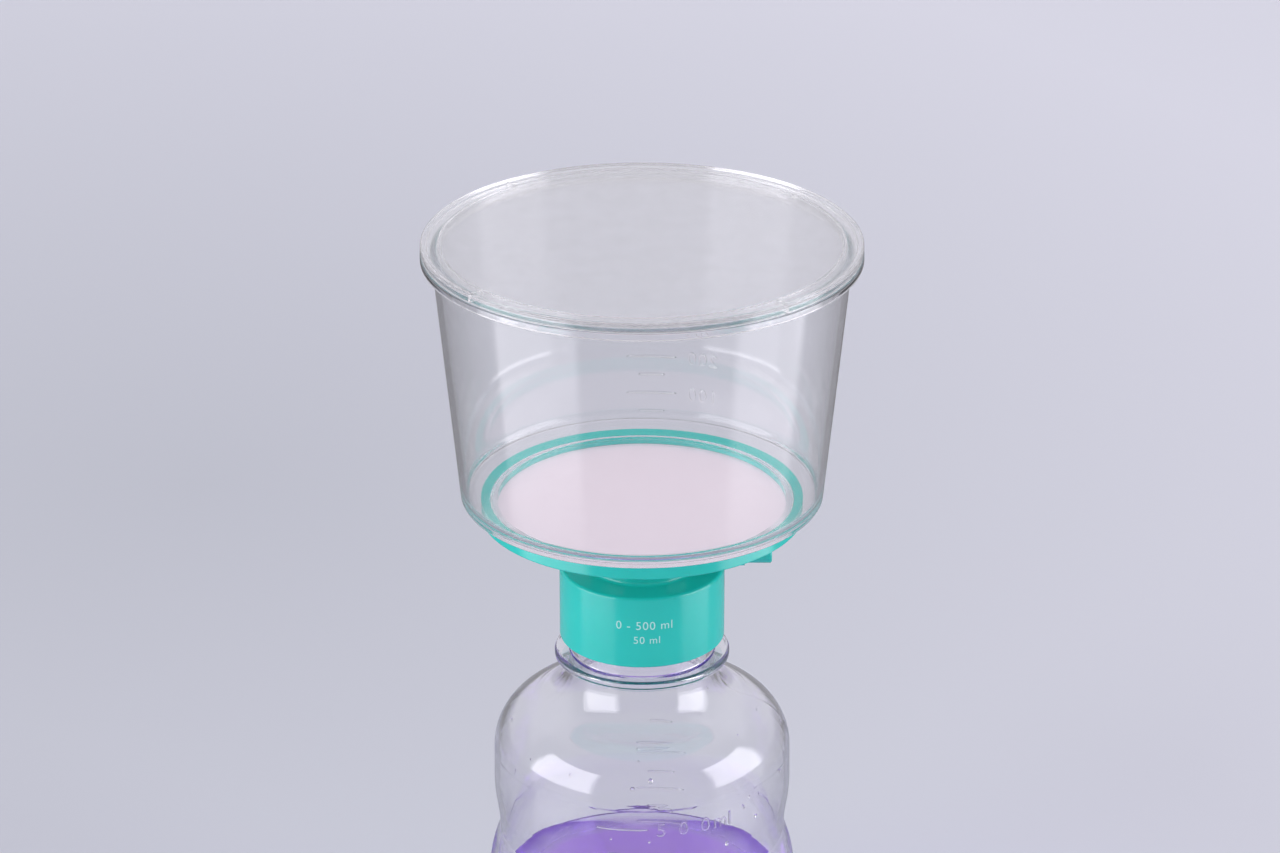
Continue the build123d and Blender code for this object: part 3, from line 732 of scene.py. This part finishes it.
absorb(tree, out, "#D9B4FA", 26.0)
print("dye:", dye.name)

# %% [markdown]
# ## The coloured base
# High-impact polystyrene, coloured in the mass and moulded glossy. The pigment is nearly even, with faint flow
# clouds some 12 mm wide. A little light passes under its surface, which keeps its shadows teal and not black.

# %% Teal polystyrene
teal, tree, shader, _, place = begin(
    "moulded_teal_polystyrene", "#27CBBF", Roughness=0.2, IOR=1.56,
    Subsurface_Weight=0.12, Subsurface_Scale=0.002,
)
clouds = mottled(tree, shader, place, 12, 2.0, ("#25C7BB", "#2ACFC3"))
gloss = add(tree, "MapRange", {"Value": clouds, "To Min": 0.14, "To Max": 0.24})
tree.links.new(gloss.outputs[0], shader.inputs["Roughness"])
tree.links.new(ripple(tree, place, 1.6, 0.006, detail=2.0), shader.inputs["Normal"])
print("base:", teal.name)

# %% [markdown]
# ## Membrane, plate, plug, seal and ink
# The membrane is cast polyethersulfone: white with a breath of pink, and pores far too fine to see, drawn here as a
# soft mottle. Wetted, it has a thin gloss. The plate under it is white polypropylene, which scatters light inside.
# The plug in the hose port is bonded fibre. The sealing ring is soft, slightly milky silicone. The ink is matt and
# white, and thin enough for the base to tint it.

# %% The other finishes
membrane_white, tree, shader, _, place = begin(
    "cast_polyethersulfone_membrane", "#FAEDF4", Roughness=0.55, Coat_Weight=0.35, Coat_Roughness=0.12,
)
mottled(tree, shader, place, 5, 5.0, ("#F7E9F0", "#FCEFF6"))
tree.links.new(ripple(tree, place, 0.5, 0.012, detail=3.0), shader.inputs["Normal"])

plate_white, tree, shader, _, place = begin(
    "moulded_white_polypropylene", "#ECEEF0", Roughness=0.35, Subsurface_Weight=0.2, Subsurface_Scale=0.003,
)
tree.links.new(ripple(tree, place, 0.8, 0.01, detail=2.0), shader.inputs["Normal"])

fibre, tree, shader, _, place = begin("bonded_white_fibre", "#F3F1EC", Roughness=0.9)
mottled(tree, shader, place, 0.35, 4.0, ("#D9D6CF", "#FBFAF7"), distortion=2.0)
tree.links.new(ripple(tree, place, 0.3, 0.08, detail=4.0), shader.inputs["Normal"])

silicone, tree, shader, _, place = begin(
    "moulded_milky_silicone", "#DDE3E6", Roughness=0.4, IOR=1.41, Subsurface_Weight=0.5, Subsurface_Scale=0.004,
)
tree.links.new(ripple(tree, place, 1.2, 0.01), shader.inputs["Normal"])

ink, tree, shader, _, place = begin("pad_printed_white_ink", "#BFEDE6", Roughness=0.5)
mottled(tree, shader, place, 0.4, 3.0, ("#8FDCD3", "#D8F6F2"))
print("finishes:", [m.name for m in (membrane_white, plate_white, fibre, silicone, ink)])

# %% [markdown]
# ## Dressing the pieces
# The CAD nodes keep their meshes and only change what is in their material slots. The raised scales are the same
# plastic as the wall that they stand on, and ride on that wall's body. The funnel's and the lid's turned shells take
# the place of their nodes only now, because a node that is replaced can't be measured with rays any more.

# %% Materials on nodes and pieces
def dress(piece, material):
    """Puts one material in every slot of a piece, or in a new slot if it has none."""
    if not piece.data.materials:
        piece.data.materials.append(material)
    for index in range(len(piece.data.materials)):
        piece.data.materials[index] = material


CAD_FINISHES = {
    "bottle": bottle_clear, "base_adapter": teal, "membrane": membrane_white,
    "support_plate": plate_white, "vent_plug": fibre, "neck_gasket": silicone,
}
SCALE_OF = {"bottle": ("bottle", bottle_clear, "bottle_clear"), "funnel": ("head", crystal, "funnel_clear")}
SHELLS = [(funnel, "funnel", crystal), (lid, "lid", lid_crystal), (nibs, "lid", lid_crystal)]
OTHERS = [(liquid, dye), (droplets, crystal), (ink_print, ink)]

for node, material in CAD_FINISHES.items():
    dress(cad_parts[node], material)
for node, piece in scales:
    body, material, slot_name = SCALE_OF[node]
    dress(piece, material)
    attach(piece, body)
for piece, node, material in SHELLS:
    dress(piece, material)
    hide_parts(node)
    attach(piece, "head")
for piece, material in OTHERS:
    dress(piece, material)
print("dressed", sum(map(len, (CAD_FINISHES, scales, SHELLS, OTHERS))), "pieces")

# %% [markdown]
# ## Light paths
# A rim of clear plastic traps light: a ray that enters it mirrors to and fro inside, often thirty times, before it
# leaves. Every one of those mirrorings counts as a glossy bounce, and the usual limit of four ends the ray early and
# turns each rim and bead black. So the limits are raised far above what the eye needs elsewhere.

# %% Bounces
BOUNCES = 64
for limit in ("max_bounces", "glossy_bounces", "transmission_bounces", "transparent_max_bounces"):
    setattr(scene.cycles, limit, BOUNCES)
scene.cycles.caustics_reflective = False
scene.cycles.caustics_refractive = False
print("bounces:", scene.cycles.max_bounces)
